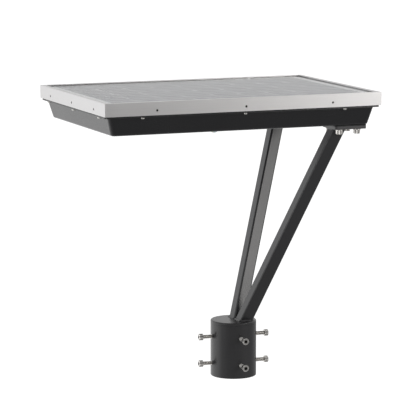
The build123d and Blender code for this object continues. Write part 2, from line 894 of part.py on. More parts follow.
# ---------------------------------------------------------------- battery and controller

battery_len = battery_columns * cell_can_len + (battery_columns + 1) * can_gap + 2 * case_wall
battery_wide = battery_rows * 2 * cell_can_r + (battery_rows + 1) * can_gap + 2 * case_wall
battery_high = 2 * cell_can_r + can_gap + case_wall
battery_top = floor_high + battery_high
battery_right = battery_left + battery_len
battery_back = battery_front + battery_wide


def battery_case():
    """Open-topped case that holds the cells."""
    case = box(battery_left, battery_right, battery_front, battery_back, floor_high, battery_top)
    w = case_wall
    return case - box(battery_left + w, battery_right - w, battery_front + w, battery_back - w,
                      floor_high + w, battery_top + 1)


def battery_cells():
    """Lithium iron phosphate cells lying side by side in two columns."""
    can = Cylinder(cell_can_r, cell_can_len, rotation=(0, 90, 0), align=LOW)
    z = floor_high + case_wall + cell_can_r
    cans = []
    for i in range(battery_columns):
        x = battery_left + case_wall + can_gap + i * (cell_can_len + can_gap)
        for j in range(battery_rows):
            y = battery_front + case_wall + can_gap + cell_can_r + j * (2 * cell_can_r + can_gap)
            cans.append(Pos(x, y, z) * can)
    return group(cans)


def strap_stud_places():
    """Studs in the floor that hold the battery's straps."""
    reach = strap_foot / 2 + strap_thick / 2
    return [(x, y) for x in strap_x for y in (battery_front - reach, battery_back + reach)]


def battery_straps():
    """Two hat-shaped straps over the battery."""
    straps = []
    for x in strap_x:
        x0 = x - strap_width / 2
        x1 = x + strap_width / 2
        y0 = battery_front - strap_thick
        y1 = battery_back + strap_thick
        hat = box(x0, x1, y0, y1, floor_high, battery_top + strap_thick)
        hat -= box(x0 - 1, x1 + 1, battery_front, battery_back, floor_high - 1, battery_top)
        feet = box(x0, x1, y0 - strap_foot, y0 + strap_lap, floor_high, floor_high + strap_thick)
        feet += box(x0, x1, y1 - strap_lap, y1 + strap_foot, floor_high, floor_high + strap_thick)
        hat += feet
        for sx, sy in strap_stud_places():
            hat -= disc(sx, sy, floor_high - 1, floor_high + 5, stud_r + screw_gap)
        straps.append(hat)
    return group(straps)


def standoff_places():
    """Corners of the controller's board."""
    reach_x = controller_len / 2 - standoff_inset
    reach_y = controller_wide / 2 - standoff_inset
    return [(controller_x + sx * reach_x, controller_y + sy * reach_y) for sx in (-1, 1) for sy in (-1, 1)]


board_low = floor_high + standoff_height
board_high = board_low + board_thick


def board_standoffs():
    """Hexagonal pillars, pressed in the floor."""
    posts = []
    for x, y in standoff_places():
        post = hexagon(x, y, floor_high, board_low, standoff_flats)
        posts.append(post - disc(x, y, board_low - standoff_bore, board_low + 1, m3_r + m3_gap))
    return group(posts)


def inner_screws():
    """Studs with nuts at the straps, and screws at the controller's corners."""
    pieces = []
    for x, y in strap_stud_places():
        nut_low = floor_high + strap_thick
        stud = disc(x, y, floor_high, floor_high + stud_len, stud_r)
        pieces.append(stud + hexagon(x, y, nut_low, nut_low + stud_nut_thick, stud_nut_flats))
    for x, y in standoff_places():
        screw = disc(x, y, board_low - board_screw_len, board_high, m3_r)
        pieces.append(screw + disc(x, y, board_high, board_high + m3_head_len, m3_head_r))
    return group(pieces)


front_terminal_y = controller_y - controller_wide / 2 + terminal_inset
rear_terminal_y = controller_y + controller_wide / 2 - terminal_inset
left_terminal_x = controller_x - controller_len / 2 + terminal_inset


def controller_board():
    """Charge controller: board, three terminal blocks, coil, capacitors and a heat sink."""
    half = controller_len / 2
    deep = controller_wide / 2
    board = box(controller_x - half, controller_x + half, controller_y - deep, controller_y + deep,
                board_low, board_high)
    for x, y in standoff_places():
        board -= disc(x, y, board_low - 1, board_high + 1, m3_r + m3_gap)
    top = board_high + terminal_tall
    mid = terminal_long / 2
    x, y = controller_x, controller_y
    board += box(x - mid, x + mid, front_terminal_y, front_terminal_y + terminal_wide, board_high, top)
    board += box(x - mid, x + mid, rear_terminal_y - terminal_wide, rear_terminal_y, board_high, top)
    board += box(left_terminal_x, left_terminal_x + terminal_wide, y - mid / 2, y + mid, board_high, top)
    board += disc(x + coil_x, y, board_high, board_high + coil_tall, coil_r)
    for step in capacitor_y:
        board += disc(x + capacitor_x, y + step, board_high, board_high + capacitor_tall, capacitor_r)
    sink_left, sink_right = sink_x
    board += box(x + sink_left, x + sink_right, y - sink_half_y, y + sink_half_y,
                 board_high, board_high + sink_tall)
    return board


def lead(points, radius):
    """Round lead along straight runs joined by an arc at each corner."""
    path = FilletPolyline(*points, radius=radius) if len(points) > 2 else Line(*points)
    start = Plane(origin=path @ 0, z_dir=path % 0)
    return sweep(start * Circle(lead_r), path=path)


def lead_wires():
    """Leads from the module, battery, switch, sensor and lamp to the controller."""
    z = board_high + terminal_tall / 2
    over = board_high + terminal_tall + lead_over
    junction_low = backsheet_low - junction_size[2]
    jx = junction_at[0] + module_lead_x
    sx, sy = sensor_at
    wx, wy = switch_at
    battery_lead_x = controller_x + battery_lead_from_board
    lamp_lead_x, lamp_lead_y = lead_hole
    low = z - lead_under
    into = front_terminal_y + switch_lead_in
    routes = [
        [(jx, module_lead_y, junction_low), (jx, module_lead_y, z), (jx, front_terminal_y, z)],
        [(battery_lead_x, battery_front, z), (battery_lead_x, rear_terminal_y, z)],
        [(left_terminal_x, lamp_lead_y, z), (lamp_lead_x, lamp_lead_y, z), (lamp_lead_x, lamp_lead_y, floor_high)],
        [(sx, sy, floor_high + sensor_neck_len), (sx, sy, low), (left_terminal_x, sy, low)],
        [(wx, wy, switch_top + contact_height), (wx, wy, over), (wx, into, over),
         (wx, into, board_high + terminal_tall)],
    ]
    return group(lead(points, radius) for points, radius in zip(routes, lead_bends))


def build():
    """All nodes by name."""
    parts = frame_rails()
    parts["frame_corner_keys"] = frame_corner_keys()
    parts["frame_sealant"] = frame_sealant()
    parts["panel_glass"] = laminate_layer(glass_low, glass_high)
    parts["encapsulant"] = encapsulant()
    parts["cell_array"] = group(cells())
    parts["cell_ribbons"] = group(ribbons())
    parts["backsheet"] = laminate_layer(backsheet_low, encapsulant_low)
    parts["junction_box"] = junction_box()
    parts["junction_box_lid"] = junction_box_lid()
    parts["tray_housing"] = tray_housing()
    parts["tray_gasket"] = tray_gasket()
    parts["flange_screws"] = group(
        pan_screw(x, y, flange_low, screw_r, screw_len, screw_head_r, screw_head_len)
        for x, y in flange_screw_places()
    )
    parts["stiffener_plate"] = stiffener_plate()
    parts["foot_plate_front"] = foot_plate(-1, plate_low, plate_high)
    parts["foot_plate_rear"] = foot_plate(1, plate_low, plate_high)
    parts["foot_gaskets"] = group(foot_plate(side, plate_high, tray_low) for side in (-1, 1))
    parts.update(foot_fasteners())
    parts["arm_front"] = arm(-1)
    parts["arm_rear"] = arm(1)
    parts["weld_beads"] = weld_beads()
    parts["sleeve"] = sleeve()
    parts["sleeve_cap"] = sleeve_cap()
    for number, (angle, z) in enumerate(clamp_places(), start=1):
        parts[f"clamp_screw_{number}"] = clamp_screw(angle, z)
    parts["heat_spreader"] = heat_spreader()
    parts["led_board"] = led_board()
    parts["led_chips"] = led_chips()
    parts["lens_plate"] = lens_plate()
    parts["lens_gasket"] = lens_gasket()
    parts["led_bezel"] = led_bezel()
    parts["bezel_screws"] = bezel_screws()
    parts["sensor_base"] = sensor_base()
    parts["sensor_dome"] = sensor_dome()
    parts["sensor_board"] = sensor_board()
    parts["switch_bushing"] = switch_bushing()
    parts["switch_button"] = switch_button()
    parts["switch_spring"] = switch_spring()
    parts["switch_contact"] = switch_contact()
    parts["switch_nut"] = switch_nut()
    parts["breather_vent"] = button_part(vent_at, vent_r, vent_thick, vent_neck_r, vent_neck_len)
    parts["indicator_lens"] = button_part(light_at, light_r, light_thick, light_neck_r, light_neck_len)
    parts["battery_case"] = battery_case()
    parts["battery_cells"] = battery_cells()
    parts["battery_straps"] = battery_straps()
    parts["controller_board"] = controller_board()
    parts["board_standoffs"] = board_standoffs()
    parts["inner_screws"] = inner_screws()
    parts["lead_wires"] = lead_wires()
    return parts


os.makedirs("parts", exist_ok=True)
for name, shape in build().items():
    export_step(shape, f"parts/{name}.step")
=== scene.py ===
"""Solar post-top street lamp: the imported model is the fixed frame, and every visible piece gets its
finished shape and its material here. Metres, +Z up, front is -Y."""

from math import atan2, cos, degrees, hypot, radians, sin, sqrt

import bpy
from mathutils import Matrix, Vector


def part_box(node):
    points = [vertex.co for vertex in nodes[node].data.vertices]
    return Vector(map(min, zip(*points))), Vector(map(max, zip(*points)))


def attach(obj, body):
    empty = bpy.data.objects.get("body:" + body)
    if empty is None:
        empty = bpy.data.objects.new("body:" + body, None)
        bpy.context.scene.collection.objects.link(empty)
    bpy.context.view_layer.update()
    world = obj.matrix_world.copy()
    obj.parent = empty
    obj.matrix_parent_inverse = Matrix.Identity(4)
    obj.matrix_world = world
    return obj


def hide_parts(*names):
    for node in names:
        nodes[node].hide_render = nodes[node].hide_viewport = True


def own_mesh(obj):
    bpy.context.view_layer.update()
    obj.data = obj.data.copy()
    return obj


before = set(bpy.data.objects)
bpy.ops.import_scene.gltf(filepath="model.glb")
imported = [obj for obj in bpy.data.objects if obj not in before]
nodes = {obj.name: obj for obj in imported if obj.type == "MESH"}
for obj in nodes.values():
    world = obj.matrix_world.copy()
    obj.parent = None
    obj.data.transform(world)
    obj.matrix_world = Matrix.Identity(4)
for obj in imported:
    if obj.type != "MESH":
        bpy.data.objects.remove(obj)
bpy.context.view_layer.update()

# ---------------------------------------------------------------------------------------- camera
# A long lens on a tripod, a little above the lamp's panel and turned to its left end.
# The camera's seat is measured from the middle of the sleeve's cap.
cap_centre = Vector((0, 0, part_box("sleeve_cap")[1].z))
view_turn = radians(22.28)
view_pitch = radians(8.70)
view_distance = 4.766
view_side = -0.0460
view_lift = 0.2147
lens_length = 207.4

sight = Vector((sin(view_turn) * cos(view_pitch), cos(view_turn) * cos(view_pitch), -sin(view_pitch)))
right = Vector((cos(view_turn), -sin(view_turn), 0))
up = right.cross(sight)
camera_data = bpy.data.cameras.new("tripod_camera")
camera_data.lens = lens_length
camera_data.sensor_width = 36
camera_data.clip_end = 300
camera = bpy.data.objects.new("tripod_camera", camera_data)
camera.matrix_world = Matrix((right, up, -sight)).transposed().to_4x4()
camera.location = cap_centre + view_side * right + view_lift * up - view_distance * sight
bpy.context.collection.objects.link(camera)
bpy.context.scene.camera = camera
bpy.context.scene.view_settings.view_transform = "Standard"

# ---------------------------------------------------------------------------------------- studio
# A wide pale floor below the lamp, in a white cove that is lit from behind: what the metal mirrors is
# bright at the back and to the left, and dim in front, overhead and at the right. A large soft box at
# the front right shapes the frame, and two small ones fill the left side.

floor_drop = -6.0
floor_reach = 400.0
white_level = 1.05
cove_bright = 0.84
cove_dim = 0.48
floor_bright = 1.0
floor_dim = 0.21
right_share = 0.3
overhead_share = 0.6


def ramp(tree, value, low, high, to_low, to_high):
    """A smooth step from one level to another."""
    step = tree.nodes.new("ShaderNodeMapRange")
    step.interpolation_type = "SMOOTHSTEP"
    tree.links.new(value, step.inputs["Value"])
    step.inputs["From Min"].default_value = low
    step.inputs["From Max"].default_value = high
    step.inputs["To Min"].default_value = to_low
    step.inputs["To Max"].default_value = to_high
    return step.outputs["Result"]


def product(tree, first, second):
    """Two levels multiplied."""
    times = tree.nodes.new("ShaderNodeMath")
    times.operation = "MULTIPLY"
    tree.links.new(first, times.inputs[0])
    tree.links.new(second, times.inputs[1])
    return times.outputs["Value"]


def seen_white(tree, level, white):
    """The level for light and reflections, and plain white where it is the backdrop."""
    ray = tree.nodes.new("ShaderNodeLightPath")
    mix = tree.nodes.new("ShaderNodeMix")
    tree.links.new(ray.outputs["Is Camera Ray"], mix.inputs["Factor"])
    tree.links.new(level, mix.inputs["A"])
    mix.inputs["B"].default_value = white
    return mix.outputs["Result"]


world = bpy.data.worlds.new("studio_cove")
world.use_nodes = True
cove = world.node_tree
cove_spot = cove.nodes.new("ShaderNodeTexCoord")
cove_axes = cove.nodes.new("ShaderNodeSeparateXYZ")
cove.links.new(cove_spot.outputs["Generated"], cove_axes.inputs["Vector"])
from_behind = ramp(cove, cove_axes.outputs["Y"], -0.80, 0.45, cove_dim, cove_bright)
overhead = ramp(cove, cove_axes.outputs["Z"], 0.35, 0.85, 1.0, overhead_share)
cove_level = product(cove, from_behind, overhead)
cove.links.new(seen_white(cove, cove_level, white_level), cove.nodes["Background"].inputs["Strength"])
cove.nodes["Background"].inputs["Color"].default_value = (1, 1, 1, 1)
bpy.context.scene.world = world

bpy.ops.object.select_all(action="DESELECT")
bpy.ops.mesh.primitive_plane_add(size=floor_reach, location=(0, 0, floor_drop))
floor = bpy.context.object
floor.name = "studio_floor"
floor_paint = bpy.data.materials.new("floor_paint")
floor_paint.use_nodes = True
paint_tree = floor_paint.node_tree
floor_spot = paint_tree.nodes.new("ShaderNodeTexCoord")
floor_axes = paint_tree.nodes.new("ShaderNodeSeparateXYZ")
paint_tree.links.new(floor_spot.outputs["Object"], floor_axes.inputs["Vector"])
floor_back = ramp(paint_tree, floor_axes.outputs["Y"], -12.0, 14.0, 0.0, 1.0)
floor_left = ramp(paint_tree, floor_axes.outputs["X"], 1.0, 12.0, 1.0, right_share)
floor_share = product(paint_tree, floor_back, floor_left)
floor_level = ramp(paint_tree, floor_share, 0.0, 1.0, floor_dim, floor_bright)
floor_shader = paint_tree.nodes["Principled BSDF"]
floor_shader.inputs["Base Color"].default_value = (0.05, 0.05, 0.05, 1)
floor_shader.inputs["Emission Color"].default_value = (1, 1, 1, 1)
floor_glow = seen_white(paint_tree, floor_level, white_level)
paint_tree.links.new(floor_glow, floor_shader.inputs["Emission Strength"])
floor_shader.inputs["Roughness"].default_value = 0.9
floor.data.materials.append(floor_paint)


def soft_box(name, centre, target, width, height, power, tint=(1, 1, 1)):
    """A rectangular soft light that points at a target."""
    data = bpy.data.lights.new(name, "AREA")
    data.shape = "RECTANGLE"
    data.size = width
    data.size_y = height
    data.energy = power
    data.color = tint
    light = bpy.data.objects.new(name, data)
    light.location = centre
    light.rotation_mode = "QUATERNION"
    light.rotation_quaternion = (Vector(target) - Vector(centre)).to_track_quat("-Z", "Y")
    bpy.context.collection.objects.link(light)
    return light


soft_box("right_front_box", (1.45, -1.85, 0.95), (0.1, 0, 0.4), 0.9, 1.3, 14, (1.0, 0.985, 0.965))
soft_box("left_box", (-1.80, -0.72, 0.50), (0.08, -0.08, 0.3), 0.4, 0.9, 3)
soft_box("left_back_box", (-1.00, 1.12, 0.42), (-0.33, -0.25, 0.55), 0.24, 0.8, 0.2, (0.97, 0.98, 1.0))

# ---------------------------------------------------------------------------------------- frame rails
# Four extruded aluminium rails, mitred at the corners and satin anodised. The die leaves faint lines
# along each rail, and its edges are slightly eased. Pressed-in keys hold the corners.

ease_steps = 2
ease_corner = radians(30)
rail_ease = 0.0005
rail_wall = 0.0017
chamber_top = 0.0164
rail_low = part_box("frame_rail_left")[0]
rail_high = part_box("frame_rail_right")[1]
frame_half_x = (rail_high.x - rail_low.x) / 2
frame_half_y = (rail_high.y - rail_low.y) / 2
frame_shift = (-(rail_high.x + rail_low.x) / 2, -(rail_high.y + rail_low.y) / 2, -rail_low.z)


class Wire:
    """One output in a material; sums and products on it add Math nodes."""

    def __init__(self, finish, socket):
        self.finish = finish
        self.socket = socket

    def __add__(self, other):
        return self.finish.maths("ADD", self, other)

    def __sub__(self, other):
        return self.finish.maths("SUBTRACT", self, other)

    def __rsub__(self, other):
        return self.finish.maths("SUBTRACT", other, self)

    def __mul__(self, other):
        return self.finish.maths("MULTIPLY", self, other)

    def __rmul__(self, other):
        return self.finish.maths("MULTIPLY", other, self)

    def __truediv__(self, other):
        return self.finish.maths("DIVIDE", self, other)

    def __lt__(self, other):
        return self.finish.maths("LESS_THAN", self, other)

    def __gt__(self, other):
        return self.finish.maths("GREATER_THAN", self, other)


class Finish:
    """A material being made: fixed values go on its shader, and node() adds what varies."""

    def __init__(self, name, **fixed):
        self.material = bpy.data.materials.new(name)
        self.material.use_nodes = True
        self.tree = self.material.node_tree
        self.shader = self.tree.nodes["Principled BSDF"]
        for label, value in fixed.items():
            self.shader.inputs[label.replace("_", " ")].default_value = value

    def node(self, kind, settings=None, inputs=None, output=0):
        """Adds a node: its settings first, then the values or wires of its inputs."""
        made = self.tree.nodes.new(kind)
        for label, value in (settings or {}).items():
            setattr(made, label, value)
        for label, value in (inputs or {}).items():
            if isinstance(value, Wire):
                self.tree.links.new(value.socket, made.inputs[label])
            else:
                made.inputs[label].default_value = value
        return Wire(self, made.outputs[output])

    def maths(self, operation, first, second=0.0):
        """One Math node."""
        return self.node("ShaderNodeMath", {"operation": operation}, {0: first, 1: second})

    def place(self, scale=(1, 1, 1), shift=(0, 0, 0)):
        """Object coordinates, moved and scaled."""
        spot = self.node("ShaderNodeTexCoord", output="Object")
        return self.node("ShaderNodeMapping", inputs={"Vector": spot, "Location": shift, "Scale": scale})

    def axis(self, letter, shift=(0, 0, 0)):
        """One of the object coordinates."""
        return self.node("ShaderNodeSeparateXYZ", inputs={"Vector": self.place(shift=shift)}, output=letter)

    def noise(self, scale, detail=3.0, stretch=(1, 1, 1)):
        """Cloudy noise from 0 to 1."""
        inputs = {"Vector": self.place(scale=stretch), "Scale": scale, "Detail": detail}
        return self.node("ShaderNodeTexNoise", inputs=inputs)

    def span(self, value, low, high, to_low, to_high):
        """Maps low..high to to_low..to_high and holds the ends."""
        inputs = {"Value": value, "From Min": low, "From Max": high, "To Min": to_low, "To Max": to_high}
        return self.node("ShaderNodeMapRange", inputs=inputs)

    def blend(self, share, first, second):
        """Colour between two colours."""
        inputs = {0: share, 6: first, 7: second}
        return self.node("ShaderNodeMix", {"data_type": "RGBA"}, inputs, output=2)

    def feed(self, label, wire):
        """Links a wire to the shader."""
        self.tree.links.new(wire.socket, self.shader.inputs[label])

    def relief(self, height, depth):
        """Bump of a real depth in metres."""
        self.feed("Normal", self.node("ShaderNodeBump", inputs={"Height": height, "Distance": depth}))


def paint(material, *names):
    """Gives CAD nodes a material."""
    for name in names:
        nodes[name].data.materials[0] = material


def only(piece):
    """Makes one piece the only selected and active one."""
    bpy.ops.object.select_all(action="DESELECT")
    piece.select_set(True)
    bpy.context.view_layer.objects.active = piece


def apply_modifiers(piece):
    """Applies a piece's modifiers in order."""
    only(piece)
    for name in [modifier.name for modifier in piece.modifiers]:
        bpy.ops.object.modifier_apply(modifier=name)


def settle(piece, node, material, body="lamp", inner=None):
    """Gives a finished piece its material and puts it on its body in place of a node."""
    only(piece)
    bpy.ops.object.transform_apply(location=True, rotation=True, scale=True)
    kinds = [face.material_index for face in piece.data.polygons]
    piece.data.materials.clear()
    piece.data.materials.append(material)
    if inner is not None:
        piece.data.materials.append(inner)
        piece.data.polygons.foreach_set("material_index", kinds)
    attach(piece, body)
    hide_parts(node)


def merged_copy(node, name):
    """A copy of a CAD node with its loose triangles joined into clean faces."""
    piece = bpy.data.objects.new(name, nodes[node].data.copy())
    bpy.context.collection.objects.link(piece)
    only(piece)
    bpy.ops.object.mode_set(mode="EDIT")
    bpy.ops.mesh.customdata_custom_splitnormals_clear()
    bpy.ops.mesh.select_all(action="SELECT")
    bpy.ops.mesh.remove_doubles(threshold=1e-6)
    bpy.ops.mesh.dissolve_limited(angle_limit=radians(1.0))
    bpy.ops.object.mode_set(mode="OBJECT")
    bpy.ops.object.shade_smooth()
    return piece


def eased_copy(node, name, ease):
    """A merged copy of a CAD node with its sharp edges rounded to a small radius."""
    piece = merged_copy(node, name)
    bevel = piece.modifiers.new("ease", "BEVEL")
    bevel.width = ease
    bevel.segments = ease_steps
    bevel.limit_method = "ANGLE"
    bevel.angle_limit = ease_corner
    weighted = piece.modifiers.new("even", "WEIGHTED_NORMAL")
    weighted.mode = "FACE_AREA"
    weighted.weight = 100
    apply_modifiers(piece)
    return piece


def anodised(name, lines):
    """Satin anodised extrusion; lines is the stretch of its die lines. Inside its hollow chamber the colour
    is painted near black: painted shade.
    """
    finish = Finish(name, Metallic=1.0)
    die_lines = finish.noise(1.0, 2.0, lines)
    clouds = finish.noise(9.0, 4.0)
    grain = finish.noise(2600.0, 1.0)
    tone = die_lines * 0.5 + clouds * 0.5
    satin = finish.blend(tone, (0.62, 0.61, 0.61, 1), (0.72, 0.715, 0.715, 1))
    to_side = frame_half_x - finish.maths("ABSOLUTE", finish.axis("X", frame_shift))
    to_front = frame_half_y - finish.maths("ABSOLUTE", finish.axis("Y", frame_shift))
    height = finish.axis("Z", frame_shift)
    # Faces inside the rail's hollow chamber get a near-black colour, painted shade where the hollow is dark.
    behind_wall = finish.maths("MINIMUM", to_side, to_front) > rail_wall
    chamber_shade = behind_wall * (height > rail_wall) * (height < chamber_top)
    finish.feed("Base Color", finish.blend(chamber_shade, satin, (0.03, 0.03, 0.03, 1)))
    finish.feed("Roughness", finish.span(die_lines * 0.6 + clouds * 0.4, 0.3, 0.7, 0.33, 0.42))
    finish.relief(die_lines * 0.7 + grain * 0.3, 0.00003)
    return finish.material


along_x = anodised("anodised_long_rail", (3, 900, 900))
along_y = anodised("anodised_short_rail", (900, 3, 900))
for rail, material in (("front", along_x), ("rear", along_x), ("left", along_y), ("right", along_y)):
    node = "frame_rail_" + rail
    settle(eased_copy(node, "rail_" + rail, rail_ease), node, material)

mill = Finish("mill_aluminium", Metallic=1.0)
mill_mark = mill.noise(1.0, 3.0, (40, 700, 700))
mill.feed("Base Color", mill.blend(mill_mark, (0.66, 0.66, 0.67, 1), (0.80, 0.80, 0.80, 1)))
mill.feed("Roughness", mill.span(mill_mark, 0.3, 0.7, 0.30, 0.46))
mill.relief(mill_mark, 0.00003)
paint(mill.material, "frame_corner_keys")

rubber = Finish("black_silicone", Roughness=0.6, Specular_IOR_Level=0.4)
rubber_grain = rubber.noise(1400.0, 2.0)
rubber_cloud = rubber.noise(30.0)
rubber.feed("Base Color", rubber.blend(rubber_cloud, (0.012, 0.012, 0.012, 1), (0.024, 0.024, 0.025, 1)))
rubber.feed("Roughness", rubber.span(rubber_grain, 0.3, 0.7, 0.5, 0.68))
rubber.relief(rubber_grain, 0.00004)
paint(rubber.material, "frame_sealant")

# ---------------------------------------------------------------------------------------- solar laminate
# Low-reflection glass over a white film in which the cells lie. Each cell is a blue-black silicon wafer
# with silver fingers across it, joined along each row by tinned ribbons. The glass and the film are
# plain sheets, and the pane ends a hair above the film so that light gets through to it.

cell_columns = 9
cell_rows = 4
column_gap = 0.0016
row_gap = 0.0018
finger_pitch = 0.0018
finger_share = 0.07
film_gap = 0.00008
cell_bed = 0.0001
cell_low, cell_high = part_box("cell_array")
pitch_x = (cell_high.x - cell_low.x + column_gap) / cell_columns
pitch_y = (cell_high.y - cell_low.y + row_gap) / cell_rows

wafer = Finish("silicon_wafer", Roughness=0.5, Specular_IOR_Level=0.02)
wafer_x = wafer.axis("X", shift=tuple(-cell_low))
wafer_y = wafer.axis("Y", shift=tuple(-cell_low))
column = wafer.maths("FLOOR", wafer_x / pitch_x)
row = wafer.maths("FLOOR", wafer_y / pitch_y)
cell_number = wafer.node("ShaderNodeCombineXYZ", inputs={"X": column, "Y": row})
cell_chance = wafer.node("ShaderNodeTexWhiteNoise", inputs={"Vector": cell_number})
fingers = wafer.maths("FRACT", wafer_x / finger_pitch) < finger_share
crystal = wafer.noise(60.0, 2.0)
deep = wafer.blend(cell_chance, (0.012, 0.014, 0.034, 1), (0.020, 0.022, 0.050, 1))
tinted = wafer.blend(crystal * 0.5, deep, (0.030, 0.026, 0.062, 1))
wafer.feed("Base Color", wafer.blend(fingers * 0.55, tinted, (0.45, 0.45, 0.47, 1)))
paint(wafer.material, "cell_array")

ribbon = Finish("tinned_ribbon", Metallic=1.0)
ribbon_grain = ribbon.noise(1.0, 3.0, (4, 500, 500))
ribbon.feed("Base Color", ribbon.blend(ribbon_grain, (0.58, 0.58, 0.60, 1), (0.76, 0.76, 0.77, 1)))
ribbon.feed("Roughness", ribbon.span(ribbon_grain, 0.3, 0.7, 0.25, 0.4))
paint(ribbon.material, "cell_ribbons")

film = Finish("white_film", Roughness=0.6, Specular_IOR_Level=0.1)
film.feed("Base Color", film.blend(film.noise(25.0), (0.85, 0.85, 0.86, 1), (0.92, 0.92, 0.92, 1)))
film.relief(film.noise(900.0, 2.0), 0.00003)
paint(film.material, "backsheet")


def slab(node, name, low, high, material):
    """A plain sheet between two corners, in place of a node."""
    bpy.ops.object.select_all(action="DESELECT")
    bpy.ops.mesh.primitive_cube_add(size=1, location=(low + high) / 2, scale=high - low)
    sheet = bpy.context.object
    sheet.name = name
    settle(sheet, node, material)


film_low, film_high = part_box("encapsulant")
film_high.z = cell_low.z + cell_bed
slab("encapsulant", "laminating_film", film_low, film_high, film.material)

glass = Finish("module_glass", Transmission_Weight=1.0, IOR=1.06, Base_Color=(0.985, 0.99, 0.99, 1))
glass.feed("Roughness", glass.span(glass.noise(14.0, 3.0), 0.3, 0.7, 0.012, 0.022))
glass.relief(glass.noise(60.0, 1.0), 0.00001)
pane_low, pane_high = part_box("panel_glass")
pane_low.z += film_gap
slab("panel_glass", "glass_pane", pane_low, pane_high, glass.material)

# ---------------------------------------------------------------------------------------- junction box
# Moulded black polyamide box and lid on the back of the laminate, with the fine spark texture that
# the mould gives it.


def moulded(name, low, high, shine, grain=1100.0):
    """Moulded plastic: two close colours and a fine mould texture."""
    finish = Finish(name, Specular_IOR_Level=0.5)
    texture = finish.noise(grain, 2.0)
    finish.feed("Base Color", finish.blend(finish.noise(18.0, 4.0), low, high))
    finish.feed("Roughness", finish.span(texture, 0.3, 0.7, shine - 0.05, shine + 0.08))
    finish.relief(texture, 0.00004)
    return finish.material


black_plastic = moulded("black_plastic", (0.014, 0.014, 0.015, 1), (0.026, 0.026, 0.028, 1), 0.42)
settle(eased_copy("junction_box", "wiring_box", 0.0006), "junction_box", black_plastic)
settle(eased_copy("junction_box_lid", "wiring_box_lid", 0.0005), "junction_box_lid", black_plastic)

# ---------------------------------------------------------------------------------------- painted steel
# The tray is pressed steel under a satin black polyester powder coat. Foot plates, arms, sleeve and cap
# are one steel weldment under a slightly greyer coat. Both flow out to a fine orange peel.


def powder_coat(name, dark, light, shine):
    """Black powder coat between two close tones, with orange peel and a light bloom."""
    finish = Finish(name, Specular_IOR_Level=0.75)
    peel = finish.noise(520.0, 2.0)
    fine = finish.noise(2400.0, 1.0)
    clouds = finish.noise(7.0, 5.0)
    speckle = finish.span(fine, 0.62, 0.75, 0.0, 0.4)
    tone = finish.blend(clouds, dark, light)
    finish.feed("Base Color", finish.blend(speckle, tone, (0.03, 0.03, 0.032, 1)))
    finish.feed("Roughness", finish.span(clouds * 0.7 + fine * 0.3, 0.3, 0.7, shine - 0.04, shine + 0.06))
    finish.relief(peel * 0.8 + fine * 0.2, 0.00004)
    return finish.material


tray_coat = powder_coat("tray_powder_coat", (0.006, 0.006, 0.0075, 1), (0.0095, 0.0095, 0.0115, 1), 0.24)
mast_coat = powder_coat("mast_powder_coat", (0.023, 0.0225, 0.0245, 1), (0.031, 0.0305, 0.033, 1), 0.30)
for node, name, ease, coat in (
    ("tray_housing", "tray", 0.0006, tray_coat),
    ("foot_plate_front", "front_foot", 0.0009, mast_coat),
    ("foot_plate_rear", "rear_foot", 0.0009, mast_coat),
    ("arm_front", "front_arm", 0.0004, mast_coat),
    ("arm_rear", "rear_arm", 0.0004, mast_coat),
    ("sleeve", "pole_sleeve", 0.0006, mast_coat),
    ("sleeve_cap", "pole_cap", 0.0004, mast_coat),
):
    settle(eased_copy(node, name, ease), node, coat)
paint(rubber.material, "tray_gasket", "foot_gaskets")

# ---------------------------------------------------------------------------------------- welds
# The arms are welded to the cap and to the foot plates by hand, so each bead is a run of small
# overlapping ripples under the same coat.

bead_voxel = 0.00045
ripple_size = 0.0024
ripple_height = 0.0007

bead = merged_copy("weld_beads", "arm_welds")
bead.data.remesh_voxel_size = bead_voxel
bpy.ops.object.voxel_remesh()
ripple = bpy.data.textures.new("weld_ripple", "CLOUDS")
ripple.noise_scale = ripple_size
swell = bead.modifiers.new("ripple", "DISPLACE")
swell.texture = ripple
swell.texture_coords = "LOCAL"
swell.strength = ripple_height
swell.mid_level = 0.55
apply_modifiers(bead)
bpy.ops.object.shade_smooth()
settle(bead, "weld_beads", mast_coat)

# ---------------------------------------------------------------------------------------- socket screws
# Stainless socket-head screws: a forged head with a knurled side, a hexagonal socket coloured near black as
# painted shade, and a rolled thread. Eight clamp the pole in the sleeve, and eight hold the foot plates to
# the tray.

stainless = Finish("stainless_steel", Metallic=1.0)
turned = stainless.noise(900.0, 3.0)
stain = stainless.noise(60.0)
stainless.feed("Base Color", stainless.blend(stain, (0.62, 0.60, 0.575, 1), (0.76, 0.745, 0.72, 1)))
stainless.feed("Roughness", stainless.span(turned, 0.3, 0.7, 0.14, 0.26))
stainless.relief(turned, 0.00002)

# The socket's inside is painted near black, as painted shade in the recess, with a faint mottle.
socket_shade_finish = Finish("painted_socket_shade", Metallic=1.0)
socket_shade_mottle = socket_shade_finish.noise(700.0, 3.0)
socket_shade_finish.feed("Base Color", socket_shade_finish.blend(socket_shade_mottle, (0.035, 0.034, 0.032, 1), (0.075, 0.07, 0.065, 1)))
socket_shade_finish.feed("Roughness", socket_shade_finish.span(socket_shade_mottle, 0.3, 0.7, 0.4, 0.6))

head_r = 0.0065
head_len = 0.008
head_chamfer = 0.0008
knurl_ridges = 40
knurl_depth = 0.00028
key_flats = 0.006
key_depth = 0.004
thread_r = 0.004
thread_depth = 0.0007
thread_pitch = 0.00125
thread_steps = 20
thread_start = 2.13
shank_in_head = 0.0005
touch = 1e-5
point_len = 0.0008


